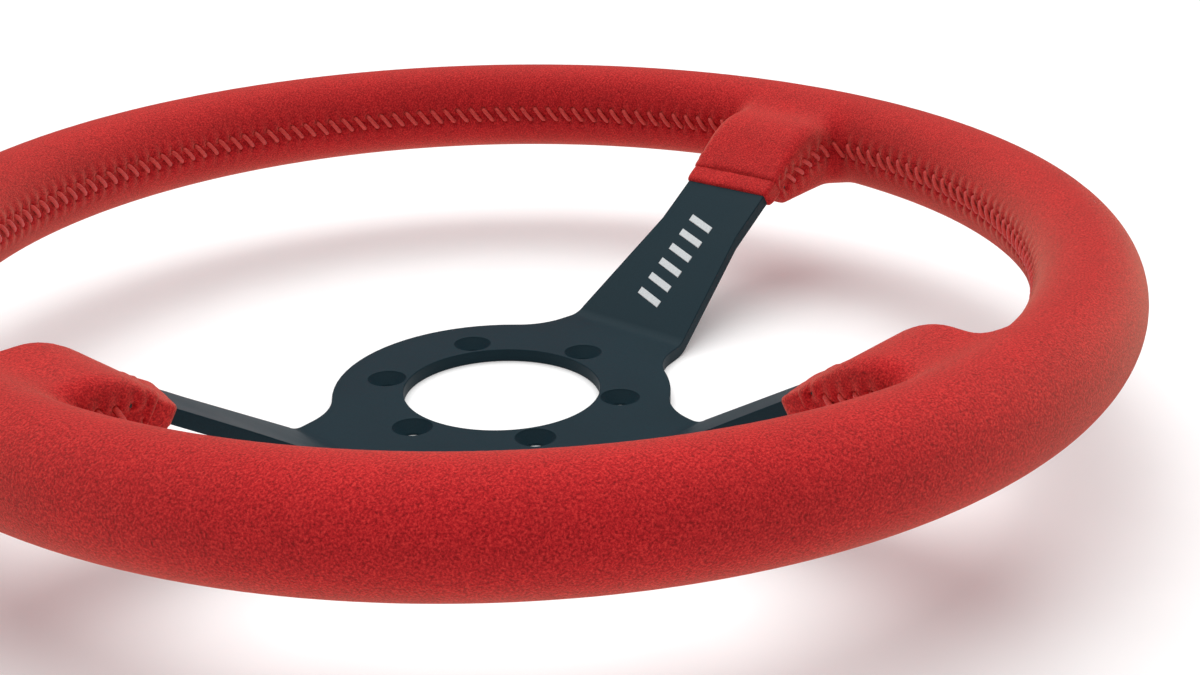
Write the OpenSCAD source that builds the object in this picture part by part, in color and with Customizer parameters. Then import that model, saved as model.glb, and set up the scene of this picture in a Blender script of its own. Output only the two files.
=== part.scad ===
// Three-spoke dished steering wheel with a suede grip, for motorsport use.
// Origin: centre of the hub, on its rear mounting face. +Z points to the driver and
// +Y to the top of the wheel. All sizes are in millimetres.

/* [Rim] */
// Outside diameter of the covered rim
wheel_d = 350; // [320:1:380]
// Thickness of the covered grip
grip_d = 29.2; // [26:0.2:34]
// Height of the rim's centre above the hub's rear face
dish = 46.5; // [36:0.5:56]
// Diameter of the steel tube inside the grip
hoop_d = 12; // [8:0.5:14]
// Wall of the steel tube
hoop_wall = 1.5; // [1:0.1:2]
// Thickness of the suede
skin_t = 1.2; // [0.8:0.1:1.6]

/* [Hub] */
// Outside diameter of the hub
hub_d = 98; // [92:1:104]
// Diameter of the open centre
bore_d = 57; // [50:0.5:58]
// Diameter of the bolt circle
bolt_pcd = 70; // [70:0.5:74]
// Number of hub bolts
bolt_count = 6; // [3:1:6]
// Clearance hole of one hub bolt
bolt_hole_d = 5.5; // [4.5:0.1:6.6]
// Countersink of one hub bolt at the front face
sink_d = 11; // [9:0.5:12]

/* [Spokes] */
// Thickness of the spoke plate
plate_t = 4; // [3:0.5:5]
// Slope of the dished part of a spoke
ramp_angle = 33; // [30:1:38]
// Angle by which both side spokes are raised towards the top of the wheel
spoke_raise = 2; // [0:0.5:6]
// Inside radius of each bend
bend_r = 8; // [5:1:12]
// Half width of a side spoke at its root
side_root_w = 21.5; // [17:0.5:23]
// Half width of a side spoke at its tip
side_tip_w = 15; // [12:0.5:17]
// Half width of the lower spoke at its root
lower_root_w = 19; // [16:0.5:22]
// Half width of the lower spoke at its tip
lower_tip_w = 14; // [11:0.1:15]
// Radius between hub and spoke edges
root_fillet_r = 20; // [12:1:26]
// Distance from the centre to the end of the suede on the right spoke
hem_at_right = 109.5; // [104:0.5:112]
// Distance from the centre to the end of the suede on the left spoke
hem_at_left = 109; // [104:0.5:112]
// Distance from the centre to the end of the suede on the lower spoke
hem_at_bottom = 103.5; // [102:0.5:112]
// Length of the rolled hem at the end of the suede
hem_len = 5; // [3:0.5:6]
// Skew of the hem on the right spoke, from hand lacing
hem_skew_right = 1; // [0:1:24]
// Skew of the hem on the left spoke
hem_skew_left = -22; // [-24:1:0]
// Skew of the hem on the lower spoke
hem_skew_bottom = 21; // [0:1:24]

/* [Emblem] */
// Number of slanted bars let into the right spoke
bar_count = 6; // [3:1:6]
// Distance between neighbouring bars
bar_pitch = 6.4; // [4.5:0.1:6.4]
// Depth of the enamel
inlay_depth = 0.4; // [0.2:0.1:0.8]

/* [Hidden] */
$fn = 96;

anodised = "#2c3940";
steel = "#8d9092";
zinc = "#b9bcbd";
foam = "#3a3936";
suede = "#c83c3a";
thread = "#b02a2c";
enamel = "#c9cfd0";

// Spoke directions, and the spoke widths that go with them
right = spoke_raise;
left = 180 - spoke_raise;
bottom = -90;
spokes = [right, left, bottom];
function hem_end(dir) = dir == right ? hem_at_right : dir == left ? hem_at_left : hem_at_bottom;
function boot_end(dir) = hem_end(dir) + hem_len;
function hem_skew(dir) = dir == right ? hem_skew_right : dir == left ? hem_skew_left : hem_skew_bottom;
function root_w(dir) = dir == bottom ? lower_root_w : side_root_w;
function tip_w(dir) = dir == bottom ? lower_tip_w : side_tip_w;

hub_r = hub_d / 2;
grip_r = grip_d / 2;
ring_r = wheel_d / 2 - grip_r;
hoop_r = hoop_d / 2;
slip = 0.1;
fillet_bite = 0.03;

// Side view of a spoke: flat at the hub, one bend up, one bend back to level
rise = dish - plate_t / 2;
slope = tan(ramp_angle);
ramp_end = 127;
ramp_start = ramp_end - rise / slope;
spoke_end = 150;
taper_start = 56;
taper_end = 95;
bend_steps = 6;
mid_bend_r = bend_r + plate_t / 2;
bend_run = mid_bend_r * tan(ramp_angle / 2);
function ramp_mid(s) = plate_t / 2 + (s - ramp_start) * slope;
half_t_vertical = plate_t / 2 / cos(ramp_angle);
function ramp_top(s) = ramp_mid(s) + half_t_vertical;
function ramp_bottom(s) = ramp_mid(s) - half_t_vertical;
function arc(c, r, from, to) =
    [for (i = [0:bend_steps]) let (a = from + (to - from) * i / bend_steps) c + r * [cos(a), sin(a)]];

// Bracket and rivets at each spoke's end
bracket_t = 3;
bracket_start = 130;
bracket_w = 11;
rivet_d = 5;
rivet_head_d = 9;
rivet_head_t = 1.8;
rivet_s = 140;
rivet_gap = 14;

// The suede boot that runs from the rim down each spoke
boot_side = 1.6;
boot_drop = 2;
boot_crest = 136;
hem_t = 1.6;
hem_swing = 12;
boot_floor = dish - grip_r + 1.2;
boot_start = 98;
boot_bend = 112;
reach = 60;

// Emblem bars
bar_start = 68;
bar_w = 2.6;
bar_lean = 3.4;
bar_half_h = 5;

// Lacing
lace_w = 2;
run_w = 1.6;
lace_gap = 2;
lacing_r = ring_r - grip_r - lace_w / 2;

module at_spoke(dir) {
    rotate([0, 0, dir]) children();
}

// Puts a side view, drawn with x outward and y upward, across the spoke's width
module across(half_w) {
    translate([0, half_w, 0]) rotate([90, 0, 0]) linear_extrude(2 * half_w) children();
}

// Puts children on the front face of a spoke's slope, x running up the slope
module on_ramp(s) {
    translate([s, 0, ramp_top(s)]) rotate([0, -ramp_angle, 0]) children();
}

module ring(r) {
    translate([0, 0, dish]) rotate_extrude($fn = 180) translate([ring_r, 0]) circle(r);
}

module spoke_side_view() {
    low_bend = [ramp_start - bend_run, plate_t + bend_r];
    high_bend = [ramp_end + bend_run, dish - mid_bend_r];
    polygon(concat(
        [[0, 0]],
        arc(low_bend, bend_r + plate_t, -90, ramp_angle - 90),
        arc(high_bend, bend_r, 90 + ramp_angle, 90),
        [[spoke_end, rise], [spoke_end, rise + plate_t]],
        arc(high_bend, bend_r + plate_t, 90, 90 + ramp_angle),
        arc(low_bend, bend_r, ramp_angle - 90, -90),
        [[0, plate_t]]
    ));
}

// Corner between the hub's circle and one edge of a spoke
module root_fillet(root, tip) {
    lean = (root - tip) / (taper_end - taper_start);
    long = sqrt(1 + lean * lean);
    normal = [lean, 1] / long;
    along = [1, -lean] / long;
    aside = (root + lean * taper_start) / long + root_fillet_r;
    spread = sqrt(pow(hub_r + root_fillet_r, 2) - aside * aside);
    centre = aside * normal + spread * along;
    on_hub = centre * hub_r / (hub_r + root_fillet_r);
    on_edge = centre - root_fillet_r * normal;
    difference() {
        polygon([[0, 0], on_hub, centre, on_edge]);
        translate(centre) circle(root_fillet_r + fillet_bite);
    }
}

module spoke_plan(root, tip) {
    union() {
        polygon([
            [0, -root], [taper_start, -root], [taper_end, -tip], [spoke_end, -tip],
            [spoke_end, tip], [taper_end, tip], [taper_start, root], [0, root]
        ]);
        root_fillet(root, tip);
        mirror([0, 1]) root_fillet(root, tip);
    }
}

module spoke(dir) {
    at_spoke(dir) intersection() {
        linear_extrude(dish + plate_t) spoke_plan(root_w(dir), tip_w(dir));
        across(hub_r) spoke_side_view();
    }
}

module bolt_holes() {
    sink_depth = (sink_d - bolt_hole_d) / 2;
    for (i = [0:bolt_count - 1]) {
        rotate([0, 0, i * 360 / bolt_count]) translate([bolt_pcd / 2, 0, 0]) {
            translate([0, 0, -1]) cylinder(d = bolt_hole_d, h = plate_t + 2);
            translate([0, 0, plate_t - sink_depth])
                cylinder(d1 = bolt_hole_d, d2 = sink_d + 2, h = sink_depth + 1);
        }
    }
}

module rivet_shanks(dir) {
    at_spoke(dir) for (side = [-1, 1]) {
        translate([rivet_s, side * rivet_gap / 2, rise - bracket_t])
            cylinder(d = rivet_d, h = bracket_t + plate_t);
    }
}

// Slanted bars, let into the front face of the right spoke
module emblem_bars() {
    at_spoke(right) for (i = [0:bar_count - 1]) {
        on_ramp(bar_start + i * bar_pitch * cos(ramp_angle)) translate([0, 0, -inlay_depth])
            linear_extrude(inlay_depth) polygon([
                [-bar_lean / 2, -bar_half_h], [bar_w - bar_lean / 2, -bar_half_h],
                [bar_w + bar_lean / 2, bar_half_h], [bar_lean / 2, bar_half_h]
            ]);
    }
}

module spoke_plate() {
    color(anodised) difference() {
        union() {
            cylinder(r = hub_r, h = plate_t);
            for (dir = spokes) spoke(dir);
        }
        translate([0, 0, -1]) cylinder(d = bore_d, h = plate_t + 2);
        bolt_holes();
        for (dir = spokes) rivet_shanks(dir);
        emblem_bars();
    }
}

module emblem_inlay() {
    color(enamel) emblem_bars();
}

// Tube bent to a circle and butt welded, so its inside is closed
module rim_hoop() {
    color(steel) difference() {
        ring(hoop_r);
        ring(hoop_r - hoop_wall);
    }
}

module bracket_blank(dir) {
    at_spoke(dir) translate([bracket_start, -bracket_w, rise - bracket_t])
        cube([ring_r - bracket_start, 2 * bracket_w, bracket_t]);
}

// Steel tab, coped to the hoop and welded to it, that carries the end of a spoke
module hoop_bracket(dir) {
    color(steel) difference() {
        bracket_blank(dir);
        ring(hoop_r);
        rivet_shanks(dir);
    }
}

module spoke_rivets() {
    color(zinc) for (dir = spokes) {
        rivet_shanks(dir);
        at_spoke(dir) for (side = [-1, 1]) {
            translate([rivet_s, side * rivet_gap / 2, 0]) {
                translate([0, 0, dish + plate_t / 2]) cylinder(d = rivet_head_d, h = rivet_head_t);
                translate([0, 0, rise - bracket_t - rivet_head_t])
                    cylinder(d = rivet_head_d, h = rivet_head_t);
            }
        }
    }
}

// Side view of a boot, drawn inset by t from its suede; it starts where the most skewed hem ends
module boot_side_view(t) {
    top = dish + grip_r - boot_drop - t;
    floor = boot_floor + t;
    polygon([
        [boot_start, ramp_bottom(boot_start) - hem_t + t], [boot_bend, floor], [ring_r, floor],
        [ring_r, top], [boot_crest, top],
        [boot_bend, ramp_top(boot_bend) + hem_t - t], [boot_start, ramp_top(boot_start) + hem_t - t]
    ]);
}

// Everything on a spoke from a distance out, cut square to the spoke and then skewed
module beyond(dir, s) {
    translate([s, 0, 0]) rotate([0, 0, hem_skew(dir)]) translate([0, -reach, 0])
        cube([2 * reach, 2 * reach, 2 * dish]);
}

module boot(dir, t) {
    at_spoke(dir) intersection() {
        across(tip_w(dir) + boot_side - t) boot_side_view(t);
        beyond(dir, boot_end(dir));
    }
}

module grip_shape(t) {
    union() {
        ring(grip_r - t);
        for (dir = spokes) boot(dir, t);
    }
}

// Moulded foam: everything inside the suede that isn't metal
module foam_grip() {
    color(foam) difference() {
        grip_shape(skin_t);
        ring(hoop_r);
        for (dir = spokes) {
            spoke(dir);
            bracket_blank(dir);
        }
        spoke_rivets();
    }
}

module rim_cover() {
    color(suede) difference() {
        grip_shape(0);
        grip_shape(skin_t);
    }
}

// Rolled hem of suede that ends a boot, snug round the spoke
module boot_cuff(dir) {
    half_w = tip_w(dir);
    color(suede) at_spoke(dir) intersection() {
        difference() {
            across(half_w + hem_t) ramp_band(hem_end(dir) - hem_swing, boot_end(dir) + hem_swing, hem_t);
            across(half_w + slip) ramp_band(hem_end(dir) - 2 * hem_swing, boot_end(dir) + 2 * hem_swing, slip);
        }
        difference() {
            beyond(dir, hem_end(dir));
            beyond(dir, boot_end(dir));
        }
    }
}

// Side view of a stretch of a spoke's slope, thickened by grow on both faces
module ramp_band(from, to, grow) {
    polygon([
        [from, ramp_bottom(from) - grow], [to, ramp_bottom(to) - grow],
        [to, ramp_top(to) + grow], [from, ramp_top(from) + grow]
    ]);
}

// Where a boot's side meets the lacing round the rim, measured from the centre
function corner_s(side_t) = sqrt(pow(lacing_r, 2) - side_t * side_t);

// Thread along one side of a boot; side is 1 or -1
module boot_lace(dir, side) {
    side_t = tip_w(dir) + boot_side;
    start = boot_end(dir) + lace_gap - side * side_t * tan(hem_skew(dir));
    from = [start, ramp_mid(start)];
    to = [corner_s(side_t + lace_w), dish];
    half_w = [0, run_w / 2];
    at_spoke(dir) translate([0, side * (side_t + lace_w / 2), 0]) across(lace_w / 2)
        polygon([from - half_w, to - half_w, to + half_w, from + half_w]);
}

// Thread round the rim's inner face between two boots, with its two boot runs
module lacing(from_dir, to_dir) {
    from_t = tip_w(from_dir) + boot_side + lace_w / 2;
    to_t = tip_w(to_dir) + boot_side + lace_w / 2;
    from = from_dir + asin(from_t / lacing_r);
    to = to_dir - asin(to_t / lacing_r);
    color(thread) union() {
        translate([0, 0, dish - lace_w / 2]) rotate([0, 0, from])
            rotate_extrude(angle = to - from, $fn = 180)
                translate([lacing_r - lace_w / 2, 0]) square(lace_w);
        boot_lace(from_dir, 1);
        boot_lace(to_dir, -1);
    }
}

spoke_plate();
emblem_inlay();
rim_hoop();
hoop_bracket(right);  // hoop_bracket_right
hoop_bracket(left);  // hoop_bracket_left
hoop_bracket(bottom);  // hoop_bracket_bottom
spoke_rivets();
foam_grip();
rim_cover();
boot_cuff(right);  // boot_cuff_right
boot_cuff(left);  // boot_cuff_left
boot_cuff(bottom);  // boot_cuff_bottom
lacing(right, left);  // lacing_upper
lacing(left, bottom + 360);  // lacing_lower_left
lacing(bottom, right);  // lacing_lower_right
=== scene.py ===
"""Looks of a dished three-spoke steering wheel with a suede grip, built round its CAD frame."""

import math
from collections import namedtuple

import bmesh
import bpy
import numpy as np
from mathutils import Matrix, Vector
from mathutils.geometry import delaunay_2d_cdt
from mathutils.kdtree import KDTree


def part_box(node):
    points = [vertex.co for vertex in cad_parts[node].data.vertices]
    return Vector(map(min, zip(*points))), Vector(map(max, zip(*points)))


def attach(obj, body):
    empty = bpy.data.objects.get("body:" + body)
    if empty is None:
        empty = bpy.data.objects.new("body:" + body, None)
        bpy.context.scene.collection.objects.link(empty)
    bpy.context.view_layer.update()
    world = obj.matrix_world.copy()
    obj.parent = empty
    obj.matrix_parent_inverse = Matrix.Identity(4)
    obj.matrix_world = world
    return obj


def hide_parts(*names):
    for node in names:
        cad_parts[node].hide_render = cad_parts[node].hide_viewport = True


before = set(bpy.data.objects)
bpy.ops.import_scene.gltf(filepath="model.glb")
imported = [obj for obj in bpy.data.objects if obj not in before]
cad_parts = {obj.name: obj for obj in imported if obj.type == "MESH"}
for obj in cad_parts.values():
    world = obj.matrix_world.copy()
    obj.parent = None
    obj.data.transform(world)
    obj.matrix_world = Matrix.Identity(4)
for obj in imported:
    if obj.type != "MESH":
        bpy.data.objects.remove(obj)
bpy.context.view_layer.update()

# ---------------------------------------------------------------------------
# Sizes, in metres, read from the frame
# ---------------------------------------------------------------------------
MM = 0.001
RIM_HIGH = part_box("rim_cover")[1]
PLATE_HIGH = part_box("spoke_plate")[1]

PLATE_T = 4 * MM
DISH = PLATE_HIGH.z - PLATE_T / 2
GRIP_R = RIM_HIGH.z - DISH
RING_R = RIM_HIGH.x - GRIP_R
INNER_R = RING_R - GRIP_R

# The spokes' slope, as the CAD source has it
RAMP_ANGLE = math.radians(33)
SLOPE = math.tan(RAMP_ANGLE)
RAMP_END = 127 * MM
HALF_T_VERTICAL = PLATE_T / 2 / math.cos(RAMP_ANGLE)

# The suede cover
SKIN_T = 1.2 * MM
HEM_T = 1.6 * MM
HEM_LEN = 5.0 * MM
BOOT_SIDE = 1.6 * MM
BOOT_BEND = 112 * MM
BOOT_RISE = 0.82
BOOT_FLOOR = DISH - GRIP_R + 0.4 * MM
BOOT_TOP = DISH + GRIP_R - 5.5 * MM
CREST_BLEND = 6 * MM
FILLET = 6 * MM
CORNER_AT_HEM = 2.4 * MM
CORNER_AT_RIM = 6 * MM
FLARE = 1.5 * MM
END_ROUND = 1.2 * MM
UNDER_FOLD = 0.8 * MM
FLOOR_BLEND = 1 * MM
FLARE_START = BOOT_BEND + 4 * MM
BOOT_STOP = 4 * MM  # short of the ring's centre line

# Direction of each spoke, half width of its tip, and the place and skew of its hem
Spoke = namedtuple("Spoke", "direction half_w hem_end skew")
SPOKES = {
    "right": Spoke(math.radians(2), 15 * MM, 109.5 * MM, math.radians(1)),
    "left": Spoke(math.radians(178), 15 * MM, 109 * MM, math.radians(-22)),
    "bottom": Spoke(math.radians(-90), 14 * MM, 103.5 * MM, math.radians(21)),
}
# Each run of lacing goes from one boot to the next, anticlockwise seen from the front
LACINGS = {
    "lacing_upper": ("right", "left"),
    "lacing_lower_left": ("left", "bottom"),
    "lacing_lower_right": ("bottom", "right"),
}


def ramp_mid(s):
    return DISH + (s - RAMP_END) * SLOPE


def hem_at(spoke, t):
    """Where the hem starts on the spoke's middle plane, t across from the spoke's centre line."""
    return spoke.hem_end - t * math.tan(spoke.skew) + PLATE_T / 2 * math.sin(RAMP_ANGLE)


def boot_at(spoke, t):
    return hem_at(spoke, t) + HEM_LEN


# ---------------------------------------------------------------------------
# The shape of the cover, as a signed distance
# ---------------------------------------------------------------------------
def smooth_min(a, b, k):
    h = np.clip(0.5 + 0.5 * (b - a) / k, 0, 1)
    return b * (1 - h) + a * h - k * h * (1 - h)


def smooth_step(low, high, x):
    t = np.clip((x - low) / (high - low), 0, 1)
    return t * t * (3 - 2 * t)


def boot_distance(s, t, z, spoke):
    """Distance to one boot: s runs out along the spoke, t across it."""
    on_ramp = ramp_mid(s) + HALF_T_VERTICAL + HEM_T
    extra = (BOOT_RISE - SLOPE) * np.maximum(s - BOOT_BEND, 0)
    top = smooth_min(on_ramp + extra, BOOT_TOP, CREST_BLEND)
    floor = smooth_min(ramp_mid(s) - HALF_T_VERTICAL - HEM_T - UNDER_FOLD, BOOT_FLOOR, FLOOR_BLEND)
    middle, half_h = (top + floor) / 2, (top - floor) / 2
    to_rim = smooth_step(FLARE_START, INNER_R, s)
    corner = CORNER_AT_HEM + (CORNER_AT_RIM - CORNER_AT_HEM) * to_rim
    wide = spoke.half_w + BOOT_SIDE + FLARE * to_rim
    a = np.abs(t) - (wide - corner)
    b = np.abs(z - middle) - (half_h - corner)
    section = np.hypot(np.maximum(a, 0), np.maximum(b, 0)) + np.minimum(np.maximum(a, b), 0) - corner
    start = boot_at(spoke, t)
    end = (start - s) * math.cos(RAMP_ANGLE) - (z - ramp_mid(start)) * math.sin(RAMP_ANGLE)
    end = end * math.cos(spoke.skew)
    return np.maximum(-smooth_min(-section, -end, END_ROUND), s - RING_R + BOOT_STOP)


def grip_distance(p, inset=0.0):
    """Distance from points p, an (n, 3) array, to the grip's smooth surface."""
    x, y, z = p[:, 0], p[:, 1], p[:, 2]
    d = np.hypot(np.hypot(x, y) - RING_R, z - DISH) - GRIP_R
    for spoke in SPOKES.values():
        c, n = math.cos(spoke.direction), math.sin(spoke.direction)
        boot = boot_distance(x * c + y * n, y * c - x * n, z, spoke)
        d = smooth_min(d, boot, FILLET)
    return d + inset


PROBE = 0.05 * MM
LEAST_SLOPE = 0.3


def grip_normal(p, inset=0.0):
    """The grip's outward direction at points p, from small steps along each axis."""
    steps = np.eye(3) * PROBE
    g = np.stack([grip_distance(p + h, inset) - grip_distance(p - h, inset) for h in steps], 1) / (2 * PROBE)
    return g / np.maximum(np.linalg.norm(g, axis=1, keepdims=True), LEAST_SLOPE)


def onto_grip(p, inset=0.0, rounds=4):
    """Moves points onto the grip's surface."""
    for _ in range(rounds):
        p = p - grip_distance(p, inset)[:, None] * grip_normal(p, inset)
    return p


def surface_net(distance, low, high, step):
    """Quads round the zero surface of a distance function, one vertex per cut cell."""
    counts = np.ceil((high - low) / step).astype(int) + 1
    axes = [low[k] + step * np.arange(counts[k]) for k in range(3)]
    grid = np.stack(np.meshgrid(*axes, indexing="ij"), -1).reshape(-1, 3)
    f = distance(grid).reshape(counts)
    inside = f < 0
    total = np.zeros(counts - 1, int)
    for corner in np.ndindex(2, 2, 2):
        total += inside[tuple(slice(c, c + n - 1) for c, n in zip(corner, counts))]
    cells = np.argwhere((total > 0) & (total < 8))
    number = np.full(counts - 1, -1)
    number[tuple(cells.T)] = np.arange(len(cells))
    places, weights = np.zeros((len(cells), 3)), np.zeros(len(cells))
    for axis in range(3):
        others = [k for k in range(3) if k != axis]
        for offsets in np.ndindex(2, 2):
            a = cells.copy()
            a[:, others] += offsets
            b = a.copy()
            b[:, axis] += 1
            fa, fb = f[tuple(a.T)], f[tuple(b.T)]
            cut = (fa < 0) != (fb < 0)
            t = np.where(cut, fa / np.where(cut, fa - fb, 1), 0)
            point = (a - cells).astype(float)
            point[:, axis] += t
            places[cut] += point[cut]
            weights[cut] += 1
    vertices = (cells + places / weights[:, None]) * step + low
    quads = []
    for axis in range(3):
        u, v = [k for k in range(3) if k != axis]
        low_cut = tuple(slice(0, -1) if k == axis else slice(None) for k in range(3))
        high_cut = tuple(slice(1, None) if k == axis else slice(None) for k in range(3))
        edges = np.argwhere(inside[low_cut] != inside[high_cut])
        ring = []
        for du, dv in ((1, 1), (0, 1), (0, 0), (1, 0)):
            cell = edges.copy()
            cell[:, u] -= du
            cell[:, v] -= dv
            ring.append(number[tuple(cell.T)])
        ring = np.stack(ring, 1)
        outward = inside[tuple(edges.T)] != (axis == 1)
        quads.append(np.where(outward[:, None], ring, ring[:, ::-1]))
    return vertices, np.concatenate(quads)


# ---------------------------------------------------------------------------
# Seams: where the edges of the cover meet and are laced
# ---------------------------------------------------------------------------
SEAM_STEP = 0.5 * MM
SEAM_FROM_HEM = 1.2 * MM
SEAM_DROP = 0.3 * MM
SEAM_SHORT_OF_RIM = 6 * MM
SEAM_LEVEL_BEFORE = 4 * MM
SEAM_TURN = BOOT_SIDE + 9 * MM
SMOOTH_ROUNDS, SMOOTH_WIDTH = 3, 9


def boot_seam(spoke, side):
    """Rough line along one side of a boot, from its hem to the rim; side is 1 or -1."""
    t = side * (spoke.half_w + BOOT_SIDE)
    start = boot_at(spoke, t) + SEAM_FROM_HEM
    s = np.arange(start, INNER_R - SEAM_SHORT_OF_RIM, SEAM_STEP)
    low = ramp_mid(start) - SEAM_DROP
    z = low + (DISH - low) * smooth_step(start, INNER_R - SEAM_LEVEL_BEFORE, s)
    c, n = math.cos(spoke.direction), math.sin(spoke.direction)
    return np.stack([s * c - t * n, s * n + t * c, z], 1)


def seam_line(name):
    """Points of one seam on the grip: down one boot's side, round the rim, up the next boot."""
    first, last = (SPOKES[side] for side in LACINGS[name])
    a, b = first.direction, last.direction
    if b <= a:
        b += 2 * math.pi
    arc_start = a + (first.half_w + SEAM_TURN) / INNER_R
    arc_end = b - (last.half_w + SEAM_TURN) / INNER_R
    arc = np.arange(arc_start, arc_end, SEAM_STEP / INNER_R)
    around = np.stack([INNER_R * np.cos(arc), INNER_R * np.sin(arc), np.full(len(arc), DISH)], 1)
    even = resample(np.concatenate([boot_seam(first, 1), around, boot_seam(last, -1)[::-1]]), SEAM_STEP)
    for _ in range(SMOOTH_ROUNDS):
        even = onto_grip(smoothed(even, SMOOTH_WIDTH))
    return resample(even, SEAM_STEP)


def resample(points, step):
    """The same line with its points about a step apart."""
    gaps = np.linalg.norm(np.diff(points, axis=0), axis=1)
    along = np.concatenate([[0], np.cumsum(gaps)])
    wanted = np.linspace(0, along[-1], int(along[-1] / step) + 1)
    return np.stack([np.interp(wanted, along, points[:, k]) for k in range(3)], 1)


def smoothed(points, width):
    """A running mean of a line's points, with its two ends kept."""
    pad = width // 2
    ends = np.concatenate([np.repeat(points[:1], pad, 0), points, np.repeat(points[-1:], pad, 0)])
    kernel = np.hanning(width + 2)[1:-1]
    kernel /= kernel.sum()
    soft = np.stack([np.convolve(ends[:, k], kernel, "valid") for k in range(3)], 1)
    soft[0], soft[-1] = points[0], points[-1]
    return soft


class Seam:
    """A seam's points with their directions along and across the surface."""

    def __init__(self, points):
        self.points = points
        along = np.gradient(points, axis=0)
        self.along = along / np.linalg.norm(along, axis=1, keepdims=True)
        self.normal = grip_normal(points)
        across = np.cross(self.normal, self.along)
        self.across = across / np.linalg.norm(across, axis=1, keepdims=True)
        self.length = (len(points) - 1) * SEAM_STEP

    def at(self, distance, sideways):
        """Points on the grip, a distance along the seam and a distance across it."""
        i = np.clip(distance / SEAM_STEP, 0, len(self.points) - 1.001)
        low = i.astype(int)
        t = (i - low)[:, None]
        point = self.points[low] * (1 - t) + self.points[low + 1] * t
        across = self.across[low] * (1 - t) + self.across[low + 1] * t
        return onto_grip(point + across * np.asarray(sideways)[:, None], rounds=3)


SEAM_LINES = {name: Seam(seam_line(name)) for name in LACINGS}

# ---------------------------------------------------------------------------
# Stitches
# ---------------------------------------------------------------------------
STITCH_PITCH = 4.6 * MM
STITCH_REACH = 2.3 * MM
STITCH_SLANT = 3.4 * MM
CORD_R = 0.62 * MM
SEAM_END_GAP = 2 * MM


def stitch_starts(seam):
    """Distances along a seam at which its stitches start, evenly spaced and centred."""
    count = int((seam.length - SEAM_END_GAP - STITCH_SLANT) / STITCH_PITCH)
    spare = seam.length - STITCH_SLANT - (count - 1) * STITCH_PITCH
    return spare / 2 + STITCH_PITCH * np.arange(count)


def near_seams(points, reach):
    """For each point: its distance to the nearest seam, how far along it, how far to its side, and which.

    Points that are further than reach from every seam have an infinite distance and the number -1.
    """
    best = np.full(len(points), np.inf)
    along = np.zeros(len(points))
    side = np.zeros(len(points))
    which = np.full(len(points), -1)
    for number, seam in enumerate(SEAM_LINES.values()):
        tree = KDTree(len(seam.points))
        for i, p in enumerate(seam.points):
            tree.insert(p, i)
        tree.balance()
        low, high = seam.points.min(0) - reach, seam.points.max(0) + reach
        near = np.flatnonzero(np.all((points > low) & (points < high), axis=1))
        for i in near:
            _, k, d = tree.find(points[i])
            if d < reach and d < best[i]:
                best[i] = d
                offset = points[i] - seam.points[k]
                along[i] = k * SEAM_STEP + offset @ seam.along[k]
                side[i] = offset @ seam.across[k]
                which[i] = number
    return best, along, side, which


# ---------------------------------------------------------------------------
# Mesh helpers
# ---------------------------------------------------------------------------
def new_object(name, vertices, faces, smooth=True):
    mesh = bpy.data.meshes.new(name)
    mesh.from_pydata([tuple(map(float, v)) for v in vertices], [], [tuple(map(int, f)) for f in faces])
    mesh.update()
    if smooth:
        mesh.shade_smooth()
    piece = bpy.data.objects.new(name, mesh)
    bpy.context.scene.collection.objects.link(piece)
    return piece


def get_points(mesh):
    co = np.zeros(len(mesh.vertices) * 3)
    mesh.vertices.foreach_get("co", co)
    return co.reshape(-1, 3)


def set_points(mesh, points):
    mesh.vertices.foreach_set("co", np.asarray(points).ravel())
    mesh.update()


# ---------------------------------------------------------------------------
# The suede cover
# ---------------------------------------------------------------------------
COVER_STEP = 2.0 * MM
FOAM_STEP = 3 * MM
GRID_MARGIN = 3 * MM
HALVED_WITHIN, QUARTERED_WITHIN = 9 * MM, 6 * MM
GROOVE_W = 1.9 * MM
GROOVE_DEPTH = 1.0 * MM
HOLE_W = 0.7 * MM
HOLE_DEPTH = 1.3 * MM
PUCKER_DEPTH = 0.22 * MM
PUCKER_REACH = 4.0 * MM
PUCKER_SPREAD = 1.6
PUCKER_START = 2 * MM
SEAM_END_FADE = 1 * MM


def grip_corners():
    """Low and high corner of the grid that the cover and the foam are cut from."""
    reach = RING_R + GRIP_R + GRID_MARGIN
    low = np.array([-reach, -reach, DISH - GRIP_R - GRID_MARGIN])
    return low, np.array([reach, reach, DISH + GRIP_R + GRID_MARGIN])


def refine(piece, reach):
    """Splits every edge that is near a seam, then puts the mesh back on the grip."""
    points = get_points(piece.data)
    distance = near_seams(points, reach)[0]
    work = bmesh.new()
    work.from_mesh(piece.data)
    work.verts.ensure_lookup_table()
    near = distance < reach
    edges = [e for e in work.edges if near[e.verts[0].index] and near[e.verts[1].index]]
    bmesh.ops.subdivide_edges(work, edges=edges, cuts=1, use_grid_fill=True)
    work.to_mesh(piece.data)
    work.free()
    set_points(piece.data, onto_grip(get_points(piece.data), rounds=2))


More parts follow.
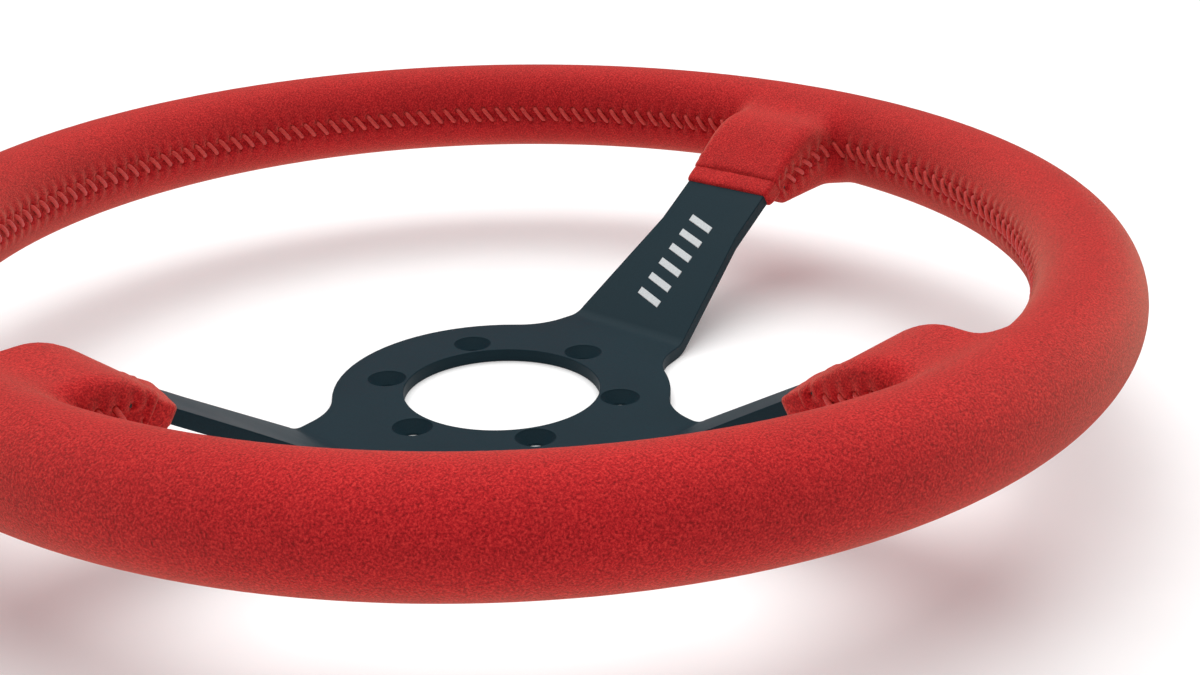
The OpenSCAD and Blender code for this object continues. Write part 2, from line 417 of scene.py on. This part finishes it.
def sink_seams(piece):
    """Presses the groove, the needle holes and the gathers between stitches into the cover."""
    points = get_points(piece.data)
    _, along, side, which = near_seams(points, PUCKER_REACH * PUCKER_SPREAD)
    depth = np.zeros(len(points))
    for number, seam in enumerate(SEAM_LINES.values()):
        mine = np.flatnonzero(which == number)
        starts = stitch_starts(seam)
        a, w = along[mine], side[mine]
        from_start = smooth_step(-SEAM_END_FADE, SEAM_END_FADE, a)
        inside = from_start * smooth_step(-SEAM_END_FADE, SEAM_END_FADE, seam.length - a)
        groove = GROOVE_DEPTH * np.exp(-((w / GROOVE_W) ** 2))
        phase = (a - starts[0]) / STITCH_PITCH
        high_hole = np.abs(phase - np.round(phase)) * STITCH_PITCH
        low_phase = phase - STITCH_SLANT / STITCH_PITCH
        low_hole = np.abs(low_phase - np.round(low_phase)) * STITCH_PITCH
        holes = np.exp(-((high_hole / HOLE_W) ** 2 + ((w - STITCH_REACH) / HOLE_W) ** 2))
        holes += np.exp(-((low_hole / HOLE_W) ** 2 + ((w + STITCH_REACH) / HOLE_W) ** 2))
        wave = np.where(w > 0, np.cos(2 * math.pi * phase), np.cos(2 * math.pi * low_phase))
        fade = np.exp(-((np.abs(w) - STITCH_REACH) / PUCKER_REACH) ** 2)
        gather = PUCKER_DEPTH * wave * fade * smooth_step(0, PUCKER_START, np.abs(w))
        depth[mine] = inside * (groove + HOLE_DEPTH * holes + gather)
    set_points(piece.data, points - depth[:, None] * grip_normal(points))


def make_cover():
    vertices, quads = surface_net(grip_distance, *grip_corners(), COVER_STEP)
    piece = new_object("suede_cover", onto_grip(vertices), quads)
    refine(piece, HALVED_WITHIN)
    refine(piece, QUARTERED_WITHIN)
    sink_seams(piece)
    return piece


def make_foam():
    vertices, quads = surface_net(lambda p: grip_distance(p, SKIN_T), *grip_corners(), FOAM_STEP)
    return new_object("foam_core", onto_grip(vertices, SKIN_T), quads)


# ---------------------------------------------------------------------------
# Lacing cord
# ---------------------------------------------------------------------------
CORD_SIDES = 10
CORD_RINGS = 13
CORD_ARCH = -0.25 * MM
CORD_SINK = 1.5 * MM
CORD_DIVE = 0.6
CORD_FLATNESS = 1.12
TWIST_DEPTH, TWIST_TURNS = 0.07, 9


def make_lacing(name):
    """Slanted strokes of cord over the seam; each dives into a needle hole at both ends."""
    seam = SEAM_LINES[name]
    starts = stitch_starts(seam)
    u = np.linspace(0, 1, CORD_RINGS)
    vertices, faces = [], []
    for start in starts:
        sideways = STITCH_REACH * np.cos(math.pi * u)
        along = start + STITCH_SLANT * (1 - np.cos(math.pi * u)) / 2
        line = seam.at(along, sideways)
        normal = grip_normal(line)
        lift = (CORD_ARCH + CORD_SINK) * np.sin(math.pi * u) ** CORD_DIVE - CORD_SINK
        line = line + normal * lift[:, None]
        tangent = np.gradient(line, axis=0)
        tangent /= np.linalg.norm(tangent, axis=1, keepdims=True)
        binormal = np.cross(tangent, normal)
        binormal /= np.linalg.norm(binormal, axis=1, keepdims=True)
        up = np.cross(binormal, tangent)
        base = len(vertices)
        for i in range(CORD_RINGS):
            for j in range(CORD_SIDES):
                q = 2 * math.pi * j / CORD_SIDES
                twist = 1 + TWIST_DEPTH * math.cos(2 * q - TWIST_TURNS * u[i] * math.pi)
                outward = CORD_FLATNESS * math.cos(q) * binormal[i] + math.sin(q) * up[i]
                vertices.append(line[i] + CORD_R * twist * outward)
        for i in range(CORD_RINGS - 1):
            for j in range(CORD_SIDES):
                k = (j + 1) % CORD_SIDES
                ring, following = base + i * CORD_SIDES, base + (i + 1) * CORD_SIDES
                faces.append([ring + j, ring + k, following + k, following + j])
        faces.append([base + j for j in reversed(range(CORD_SIDES))])
        faces.append([base + (CORD_RINGS - 1) * CORD_SIDES + j for j in range(CORD_SIDES)])
    return new_object(name + "_cord", vertices, faces)


# ---------------------------------------------------------------------------
# Rolled hems
# ---------------------------------------------------------------------------
HEM_BULGE = 0.95 * MM
HEM_CORNER = 0.5 * MM
HEM_LIFT = 0.15 * MM
HEM_TUCK = 0.3 * MM
HEM_SQUARENESS = 2.8
HEM_UNDER_BOOT = 1.8 * MM
HEM_FULLER_BELOW = 0.7
PROFILE_POINTS = 15
CORNER_POINTS, CORNER_STEP = 7, 15
WIDE_PARTS, NARROW_PARTS = 24, 3


def hem_profile(length):
    """(along, out) points over the hem's length: a plump roll, tucked in at both ends."""
    along = np.linspace(0, 1, PROFILE_POINTS)
    from_middle = np.abs(2 * along - 1)
    out = HEM_LIFT + HEM_BULGE * np.sqrt(np.maximum(1 - from_middle ** HEM_SQUARENESS, 0))
    return [(0.0, -HEM_TUCK), *zip(along * length, out), (length, -HEM_TUCK)]


def hem_loop(half_w, half_t):
    """(t, h, outward t, outward h) round the spoke's section, with rounded corners."""
    corners = []
    for side, up, turn in ((1, 1, 0), (-1, 1, 90), (-1, -1, 180), (1, -1, 270)):
        across, height = side * (half_w - HEM_CORNER), up * (half_t - HEM_CORNER)
        for k in range(CORNER_POINTS):
            a = math.radians(turn + CORNER_STEP * k)
            corners.append((across, height, math.cos(a), math.sin(a)))
    loop = []
    for i, here in enumerate(corners):
        there = corners[(i + 1) % len(corners)]
        loop.append(here)
        if (i + 1) % CORNER_POINTS == 0:
            parts = WIDE_PARTS if (i + 1) // CORNER_POINTS % 2 else NARROW_PARTS
            for k in range(1, parts):
                loop.append(tuple(here[c] * (1 - k / parts) + there[c] * k / parts for c in range(4)))
    return loop


def make_cuff(side):
    """A band of folded suede snug round the spoke, swept round the spoke's section."""
    spoke = SPOKES[side]
    profile = hem_profile(HEM_LEN / math.cos(RAMP_ANGLE) + HEM_UNDER_BOOT)
    c, n = math.cos(spoke.direction), math.sin(spoke.direction)
    vertices, faces = [], []
    loop = hem_loop(spoke.half_w, PLATE_T / 2)
    for i, (cx, cy, nx, ny) in enumerate(loop):
        soft = 1 + 0.05 * math.sin(i * 0.83) + 0.04 * math.sin(i * 0.37 + 1)
        for x, out in profile:
            o = HEM_CORNER + out * (soft * (1 + HEM_FULLER_BELOW * max(-ny, 0)) if out > 0 else 1)
            t, h = cx + nx * o, cy + ny * o
            foot = hem_at(spoke, t)
            s = foot + x * math.cos(RAMP_ANGLE) - h * math.sin(RAMP_ANGLE)
            z = ramp_mid(foot) + x * math.sin(RAMP_ANGLE) + h * math.cos(RAMP_ANGLE)
            vertices.append((s * c - t * n, s * n + t * c, z))
    m = len(profile)
    for i in range(len(loop)):
        k = (i + 1) % len(loop)
        for j in range(m):
            l = (j + 1) % m
            faces.append((i * m + j, i * m + l, k * m + l, k * m + j))
    return new_object("hem_" + side, vertices, faces)


# ---------------------------------------------------------------------------
# The spoke plate: cut flat, with eased edges and countersunk holes, then bent up along each spoke
# ---------------------------------------------------------------------------
HUB_R, BORE_R = 49 * MM, 28.5 * MM
BOLTS, BOLT_CIRCLE_R, BOLT_R, SINK_R = 6, 35 * MM, 2.75 * MM, 5.5 * MM
TAPER_START, TAPER_END, SPOKE_END = 56 * MM, 95 * MM, 150 * MM
ROOT_W = {"right": 21.5 * MM, "left": 21.5 * MM, "bottom": 19 * MM}
ROOT_FILLET = 20 * MM
BEND_R = 10 * MM
BEND_STEPS = 8
EDGE_R = 0.35 * MM
FILLET_POINTS, HUB_ARC_POINTS, BORE_POINTS, HOLE_POINTS = 16, 22, 120, 40
TO_MM = 1000
SAME_PLACE = 1e-9
RISE = DISH - PLATE_T / 2
RAMP_START = RAMP_END - RISE / SLOPE
LOW_BEND = RAMP_START - BEND_R * math.tan(RAMP_ANGLE / 2)
HIGH_BEND = RAMP_END + BEND_R * math.tan(RAMP_ANGLE / 2)


def bend_cuts():
    """Places along a spoke where the flat plate is divided, so that it can bend."""
    steps = BEND_R * np.sin(np.linspace(0, RAMP_ANGLE, BEND_STEPS))
    return [*(LOW_BEND + steps), *(HIGH_BEND - steps[::-1])]


def bent_height(s):
    """How far the plate's middle rises at s along a spoke, and how steep it is there."""
    if s <= LOW_BEND:
        return 0.0, 0.0
    if s < LOW_BEND + BEND_R * math.sin(RAMP_ANGLE):
        angle = math.asin((s - LOW_BEND) / BEND_R)
        return BEND_R * (1 - math.cos(angle)), angle
    if s <= HIGH_BEND - BEND_R * math.sin(RAMP_ANGLE):
        return (s - RAMP_START) * SLOPE, RAMP_ANGLE
    angle = math.asin(max(HIGH_BEND - s, 0) / BEND_R)
    return RISE - BEND_R * (1 - math.cos(angle)), angle


def bent(point):
    """A point of the flat plate, moved up to where the bends put it."""
    x, y, z = point
    for spoke in SPOKES.values():
        s = x * math.cos(spoke.direction) + y * math.sin(spoke.direction)
        if s > LOW_BEND:
            rise, angle = bent_height(s)
            return (x, y, PLATE_T / 2 + rise + (z - PLATE_T / 2) / math.cos(angle))
    return (x, y, z)


def spoke_edge(side):
    """(s, t) points up one edge of a spoke, from the hub's circle round the fillet to the tip."""
    spoke, root = SPOKES[side], ROOT_W[side]
    lean = (root - spoke.half_w) / (TAPER_END - TAPER_START)
    long = math.hypot(1, lean)
    normal, along = np.array([lean, 1]) / long, np.array([1, -lean]) / long
    aside = (root + lean * TAPER_START) / long + ROOT_FILLET
    centre = aside * normal + math.sqrt((HUB_R + ROOT_FILLET) ** 2 - aside ** 2) * along
    on_hub = centre * HUB_R / (HUB_R + ROOT_FILLET)
    on_edge = centre - ROOT_FILLET * normal
    stations = {*np.linspace(on_hub[0], on_edge[0], FILLET_POINTS), *bend_cuts(), TAPER_END, SPOKE_END}
    points = []
    for s in sorted(stations):
        if s <= on_edge[0]:
            points.append((s, centre[1] - math.sqrt(ROOT_FILLET ** 2 - (s - centre[0]) ** 2)))
        else:
            points.append((s, spoke.half_w + lean * max(TAPER_END - s, 0)))
    return np.array(points)


def plate_outline():
    """The flat plate's outline, anticlockwise, and the pairs of its points joined by bend lines."""
    points, bends = [], []
    for side in ("right", "left", "bottom"):
        c, n = math.cos(SPOKES[side].direction), math.sin(SPOKES[side].direction)
        turn = np.array([[c, n], [-n, c]])
        edge = spoke_edge(side)
        both = np.concatenate([edge * (1, -1), edge[::-1]]) @ turn
        start, count = len(points), len(edge)
        cuts = [i for i in range(count) if np.abs(np.array(bend_cuts()) - edge[i, 0]).min() < SAME_PLACE]
        bends += [(start + i, start + 2 * count - 1 - i) for i in cuts]
        points += both.tolist()
        following = {"right": "left", "left": "bottom", "bottom": "right"}[side]
        last = math.atan2(points[-1][1], points[-1][0])
        first = spoke_edge(following)[0]
        until = SPOKES[following].direction - math.atan2(first[1], first[0])
        until += 2 * math.pi * math.ceil((last - until) / (2 * math.pi))
        for angle in np.linspace(last, until, HUB_ARC_POINTS)[1:-1]:
            points.append([HUB_R * math.cos(angle), HUB_R * math.sin(angle)])
    return np.array(points), bends


def circle_loop(x, y, radius, count):
    """A hole's edge, clockwise, so that the plate lies on its left like inside the outline."""
    angles = -2 * math.pi * np.arange(count) / count
    return np.stack([x + radius * np.cos(angles), y + radius * np.sin(angles)], 1)


def inward(loop):
    """Unit vectors from a loop's points into the plate."""
    ahead = np.roll(loop, -1, 0) - loop
    ahead /= np.linalg.norm(ahead, axis=1, keepdims=True)
    normals = np.stack([-ahead[:, 1], ahead[:, 0]], 1)
    mean = normals + np.roll(normals, 1, 0)
    return mean / np.maximum((mean ** 2).sum(1, keepdims=True) / 2, 0.5)


def eased_wall(top_recess=0.0):
    """(inset, height) from the front face to the back face; a recess adds a countersink."""
    quarter = np.radians([0, 30, 60, 90])
    front = [(top_recess + EDGE_R * (1 - math.sin(a)), PLATE_T - EDGE_R * (1 - math.cos(a))) for a in quarter]
    cone = [(0.0, PLATE_T - EDGE_R - top_recess)] if top_recess else []
    back = [(EDGE_R * (1 - math.cos(a)), EDGE_R * (1 - math.sin(a))) for a in quarter]
    return front + cone + back


def inside_loop(loop, x, y):
    """Whether a point lies inside a closed loop."""
    a, b = loop, np.roll(loop, -1, 0)
    crosses = (a[:, 1] > y) != (b[:, 1] > y)
    at = a[:, 0] + (y - a[:, 1]) / np.where(crosses, b[:, 1] - a[:, 1], 1) * (b[:, 0] - a[:, 0])
    return bool(np.count_nonzero(crosses & (x < at)) % 2)


def face_triangles(vertices, rings, bends):
    """Fills the face between an outline ring and its hole rings of vertex numbers."""
    numbers = [n for ring in rings for n in ring]
    flat = [Vector(vertices[n][:2]) * TO_MM for n in numbers]
    edges, start = [], 0
    for ring in rings:
        edges += [(start + i, start + (i + 1) % len(ring)) for i in range(len(ring))]
        start += len(ring)
    out, _, triangles, origin, _, _ = delaunay_2d_cdt(flat, edges + bends, [], 0, 1e-5, True)
    loops = [np.array([vertices[n][:2] for n in ring]) * TO_MM for ring in rings]
    kept = []
    for triangle in triangles:
        x, y = np.mean([out[i] for i in triangle], 0)
        if inside_loop(loops[0], x, y) and not any(inside_loop(hole, x, y) for hole in loops[1:]):
            kept.append([numbers[origin[i][0]] for i in triangle])
    return kept


def make_plate():
    outline, bends = plate_outline()
    loops = [(outline, eased_wall()), (circle_loop(0, 0, BORE_R, BORE_POINTS), eased_wall())]
    for k in range(BOLTS):
        a = 2 * math.pi * k / BOLTS
        x, y = BOLT_CIRCLE_R * math.cos(a), BOLT_CIRCLE_R * math.sin(a)
        hole = circle_loop(x, y, BOLT_R, HOLE_POINTS)
        loops.append((hole, eased_wall(SINK_R - BOLT_R)))
    vertices, faces, fronts, backs = [], [], [], []
    for loop, wall in loops:
        base, count, into = len(vertices), len(loop), inward(loop)
        for inset, z in wall:
            vertices += [(*p, z) for p in loop + into * inset]
        for level in range(len(wall) - 1):
            for i in range(count):
                a, b = base + level * count + i, base + level * count + (i + 1) % count
                faces.append([a, b, b + count, a + count])
        fronts.append(list(range(base, base + count)))
        backs.append(list(range(len(vertices) - count, len(vertices))))
    faces += face_triangles(vertices, fronts, bends) + face_triangles(vertices, backs, bends)
    piece = new_object("plate_anodised", [bent(v) for v in vertices], faces, smooth=False)
    mesh = piece.data
    work = bmesh.new()
    work.from_mesh(mesh)
    bmesh.ops.recalc_face_normals(work, faces=work.faces)
    work.to_mesh(mesh)
    work.free()
    mesh.shade_smooth()
    piece.modifiers.new("shading", "WEIGHTED_NORMAL").weight = 100
    bpy.context.view_layer.objects.active = piece
    bpy.ops.object.modifier_apply(modifier="shading")
    return piece


# ---------------------------------------------------------------------------
# The emblem: slanted bars of enamel, a hair proud of the spoke's face
# ---------------------------------------------------------------------------
BAR_COUNT, BAR_START, BAR_PITCH = 6, 68 * MM, 6.4 * MM
BAR_W, BAR_LEAN, BAR_HALF_H = 2.6 * MM, 3.4 * MM, 5 * MM
BAR_SINK, BAR_PROUD, BAR_EDGE = 0.3 * MM, 0.15 * MM, 0.12 * MM


def emblem_point(x, y, up):
    """A point on the right spoke's face: x up the slope from the first bar, y across."""
    spoke = SPOKES["right"]
    c, n = math.cos(spoke.direction), math.sin(spoke.direction)
    s = BAR_START + x * math.cos(RAMP_ANGLE) - up * math.sin(RAMP_ANGLE)
    z = ramp_mid(BAR_START) + HALF_T_VERTICAL + x * math.sin(RAMP_ANGLE) + up * math.cos(RAMP_ANGLE)
    return (s * c - y * n, s * n + y * c, z)


def make_emblem():
    vertices, faces = [], []
    for bar in range(BAR_COUNT):
        base = len(vertices)
        for up, inset in ((-BAR_SINK, 0), (BAR_PROUD - BAR_EDGE, 0), (BAR_PROUD, BAR_EDGE)):
            left, right, half = inset, BAR_W - inset, BAR_HALF_H - inset
            for x, y in ((left, -half), (right, -half), (right, half), (left, half)):
                lean = BAR_LEAN * y / (2 * BAR_HALF_H)
                vertices.append(emblem_point(bar * BAR_PITCH + x + lean, y, up))
        for level in (0, 4):
            for k in range(4):
                n = (k + 1) % 4
                faces.append([base + level + k, base + level + n, base + level + n + 4, base + level + k + 4])
        faces.append([base + 3, base + 2, base + 1, base])
        faces.append([base + 8, base + 9, base + 10, base + 11])
    return new_object("emblem_bars", vertices, faces, smooth=False)


# ---------------------------------------------------------------------------
# Materials
# ---------------------------------------------------------------------------
class Nodes:
    """Short calls for building a material's node tree."""

    def __init__(self, name):
        self.material = bpy.data.materials.new(name)
        self.material.use_nodes = True
        self.tree = self.material.node_tree
        self.shader = self.tree.nodes["Principled BSDF"]
        self.place = self.add("ShaderNodeTexCoord").outputs["Object"]

    def add(self, kind, **settings):
        node = self.tree.nodes.new(kind)
        for key, value in settings.items():
            setattr(node, key, value)
        return node

    def link(self, out, into):
        self.tree.links.new(out, into)

    def noise(self, scale, detail=2.0, rough=0.5, stretch=None, place=None):
        node = self.add("ShaderNodeTexNoise")
        node.inputs["Scale"].default_value = scale
        node.inputs["Detail"].default_value = detail
        node.inputs["Roughness"].default_value = rough
        place = place or self.place
        if stretch:
            mapping = self.add("ShaderNodeMapping")
            mapping.inputs["Scale"].default_value = stretch
            self.link(place, mapping.inputs["Vector"])
            place = mapping.outputs["Vector"]
        self.link(place, node.inputs["Vector"])
        return node.outputs["Fac"]

    def ramp(self, value, stops):
        node = self.add("ShaderNodeValToRGB")
        elements = node.color_ramp.elements
        while len(elements) < len(stops):
            elements.new(0.5)
        for element, (position, colour) in zip(elements, stops):
            element.position = position
            element.color = (*colour, 1)
        self.link(value, node.inputs["Fac"])
        return node.outputs["Color"]

    def spread(self, value, low, high, to_low, to_high):
        node = self.add("ShaderNodeMapRange")
        for key, number in zip(("From Min", "From Max", "To Min", "To Max"), (low, high, to_low, to_high)):
            node.inputs[key].default_value = number
        self.link(value, node.inputs["Value"])
        return node.outputs["Result"]

    def maths(self, operation, a, b):
        node = self.add("ShaderNodeMath", operation=operation)
        for socket, value in zip(node.inputs, (a, b)):
            if isinstance(value, (int, float)):
                socket.default_value = value
            else:
                self.link(value, socket)
        return node.outputs["Value"]

    def mix(self, blend, factor, a, b):
        node = self.add("ShaderNodeMix", data_type="RGBA", blend_type=blend)
        for socket, value in ((node.inputs[0], factor), (node.inputs[6], a), (node.inputs[7], b)):
            if isinstance(value, (int, float)):
                socket.default_value = value
            elif isinstance(value, tuple):
                socket.default_value = (*value, 1)
            else:
                self.link(value, socket)
        return node.outputs[2]

    def bump(self, height, strength, distance, under=None):
        node = self.add("ShaderNodeBump")
        node.inputs["Strength"].default_value = strength
        node.inputs["Distance"].default_value = distance
        self.link(height, node.inputs["Height"])
        if under:
            self.link(under, node.inputs["Normal"])
        return node.outputs["Normal"]

    def set(self, **values):
        for key, value in values.items():
            socket = self.shader.inputs[key.replace("_", " ")]
            if isinstance(value, bpy.types.NodeSocket):
                self.link(value, socket)
            else:
                socket.default_value = value


def suede():
    m = Nodes("red_suede")
    grain = m.noise(1900, 3, 0.7)
    fine = m.noise(4000, 2, 0.6)
    patch = m.noise(24, 3, 0.55)
    brushed = m.noise(90, 4, 0.6, stretch=(1.0, 1.0, 2.2))
    pit, nap, tip = (0.25, 0.003, 0.007), (0.54, 0.010, 0.017), (0.76, 0.038, 0.036)
    base = m.ramp(grain, [(0.33, pit), (0.50, nap), (0.67, tip)])
    patches = m.ramp(patch, [(0.3, (0.93, 0.92, 0.92)), (0.7, (1.04, 1.03, 1.03))])
    worn = m.mix("MULTIPLY", 1.0, base, patches)
    strokes = m.ramp(brushed, [(0.35, (0.95, 0.93, 0.93)), (0.65, (1.03, 1.03, 1.03))])
    worn = m.mix("MULTIPLY", 1.0, worn, strokes)
    coarse = m.bump(grain, 0.6, 0.00035)
    m.set(Base_Color=worn, Normal=m.bump(fine, 0.3, 0.00015, coarse))
    m.set(Roughness=m.spread(brushed, 0.3, 0.7, 0.88, 0.98))
    m.set(Sheen_Weight=0.42, Sheen_Roughness=0.5, Sheen_Tint=(1.0, 0.60, 0.42, 1.0), Specular_IOR_Level=0.12)
    return m.material


def cord():
    m = Nodes("red_cord")
    strands = m.noise(1500, 2, 0.5, stretch=(1, 1, 3))
    m.set(Base_Color=m.ramp(strands, [(0.3, (0.56, 0.016, 0.016)), (0.7, (0.82, 0.06, 0.04))]))
    m.set(Normal=m.bump(strands, 0.5, 0.0003), Roughness=m.spread(strands, 0.3, 0.7, 0.5, 0.65))
    m.set(Sheen_Weight=0.2)
    return m.material


def anodised():
    m = Nodes("black_anodised")
    blast = m.noise(2400, 2, 0.6)
    cloud = m.noise(35, 3, 0.5)
    tone = m.ramp(cloud, [(0.3, (0.006, 0.020, 0.028)), (0.7, (0.008, 0.024, 0.033))])
    dots = m.ramp(blast, [(0.3, (0.88, 0.88, 0.88)), (0.7, (1.1, 1.1, 1.1))])
    m.set(Base_Color=m.mix("MULTIPLY", 1.0, tone, dots))
    m.set(Metallic=0.0, Roughness=m.spread(cloud, 0.3, 0.7, 0.50, 0.58), Normal=m.bump(blast, 0.12, 0.0001))
    m.set(Specular_IOR_Level=0.12, Specular_Tint=(0.75, 0.93, 1.0, 1.0))
    return m.material


def enamel():
    m = Nodes("silver_enamel")
    speckle = m.noise(1800, 3, 0.6)
    m.set(Base_Color=m.ramp(speckle, [(0.3, (0.50, 0.54, 0.55)), (0.7, (0.64, 0.68, 0.69))]))
    m.set(Roughness=m.spread(speckle, 0.3, 0.7, 0.35, 0.5), Normal=m.bump(speckle, 0.1, 0.0001))
    return m.material


def steel(name, tone):
    m = Nodes(name)
    streak = m.noise(600, 3, 0.6, stretch=(1, 1, 12))
    m.set(Base_Color=m.ramp(streak, [(0.3, (tone * 0.85,) * 3), (0.7, (tone, tone, tone * 1.02))]))
    m.set(Metallic=1.0, Roughness=m.spread(streak, 0.3, 0.7, 0.3, 0.45), Normal=m.bump(streak, 0.1, 0.0001))
    return m.material


def foam_rubber():
    m = Nodes("grip_foam")
    pores = m.noise(1400, 3, 0.7)
    m.set(Base_Color=m.ramp(pores, [(0.3, (0.03, 0.03, 0.028)), (0.7, (0.07, 0.068, 0.064))]))
    m.set(Roughness=m.spread(pores, 0.3, 0.7, 0.8, 0.95), Normal=m.bump(pores, 0.4, 0.0003))
    return m.material


def floor_paper():
    m = Nodes("pale_floor")
    speckle = m.noise(60, 3, 0.5)
    m.set(Base_Color=m.ramp(speckle, [(0.3, (0.78, 0.785, 0.78)), (0.7, (0.80, 0.805, 0.80))]))
    m.set(Roughness=m.spread(speckle, 0.3, 0.7, 0.8, 0.9))
    m.set(Emission_Color=(1.0, 1.0, 1.0, 1.0), Emission_Strength=0.22)
    return m.material


def paint(piece, material):
    piece.data.materials.clear()
    piece.data.materials.append(material)


# ---------------------------------------------------------------------------
# Build
# ---------------------------------------------------------------------------
def stand_for(node, piece, material):
    """Paints a piece and has it take the place of one CAD node of the wheel's only body."""
    paint(piece, material)
    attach(piece, "root")
    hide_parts(node)
    return piece


RED = suede()
CORD = cord()

cover = stand_for("rim_cover", make_cover(), RED)

foam = stand_for("foam_grip", make_foam(), foam_rubber())

for side in SPOKES:
    stand_for("boot_cuff_" + side, make_cuff(side), RED)
for name in LACINGS:
    stand_for(name, make_lacing(name), CORD)
stand_for("spoke_plate", make_plate(), anodised())
stand_for("emblem_inlay", make_emblem(), enamel())

HOOP_STEEL = steel("hoop_steel", 0.45)
for name in ("rim_hoop", "hoop_bracket_right", "hoop_bracket_left", "hoop_bracket_bottom"):
    paint(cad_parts[name], HOOP_STEEL)
paint(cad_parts["spoke_rivets"], steel("zinc_plate", 0.6))


# ---------------------------------------------------------------------------
# Floor, light and camera
# ---------------------------------------------------------------------------
FLOOR_SIZE = 30
SUN_FROM, SUN_STRENGTH, SUN_SPREAD = (0.17, 0.20, 1.0), 3.1, 70
SKY_COLOUR, SKY_STRENGTH = (0.95, 0.98, 1.0, 1), 0.22
CAMERA_PLACE = Vector((-0.3113, -0.3190, 0.2034))
CAMERA_TARGET = Vector((-0.0295, -0.0651, DISH))
CAMERA_LENS, CAMERA_SENSOR, CAMERA_NEAR = 50.3, 36, 0.01
CAMERA_ROLL = math.radians(0.5)


def make_floor():
    bpy.ops.mesh.primitive_plane_add(size=FLOOR_SIZE)
    floor = bpy.context.active_object
    floor.name = "floor"
    paint(floor, floor_paper())


def make_softbox():
    """A broad overhead light, far enough away to light the whole floor evenly."""
    data = bpy.data.lights.new("softbox", "SUN")
    data.energy = SUN_STRENGTH
    data.angle = math.radians(SUN_SPREAD)
    light = bpy.data.objects.new("softbox", data)
    light.rotation_euler = Vector(SUN_FROM).to_track_quat("Z", "Y").to_euler()
    bpy.context.scene.collection.objects.link(light)


def make_world():
    world = bpy.data.worlds.new("studio")
    bpy.context.scene.world = world
    world.use_nodes = True
    background = world.node_tree.nodes["Background"]
    background.inputs["Color"].default_value = SKY_COLOUR
    background.inputs["Strength"].default_value = SKY_STRENGTH


def make_camera():
    data = bpy.data.cameras.new("camera")
    data.lens = CAMERA_LENS
    data.sensor_width = CAMERA_SENSOR
    data.clip_start = CAMERA_NEAR
    camera = bpy.data.objects.new("camera", data)
    aim = (CAMERA_TARGET - CAMERA_PLACE).to_track_quat("-Z", "Y").to_matrix().to_4x4()
    camera.matrix_world = Matrix.Translation(CAMERA_PLACE) @ aim @ Matrix.Rotation(-CAMERA_ROLL, 4, "Z")
    bpy.context.scene.collection.objects.link(camera)
    bpy.context.scene.camera = camera


make_floor()
make_world()
make_softbox()
make_camera()
bpy.context.scene.view_settings.view_transform = "Standard"
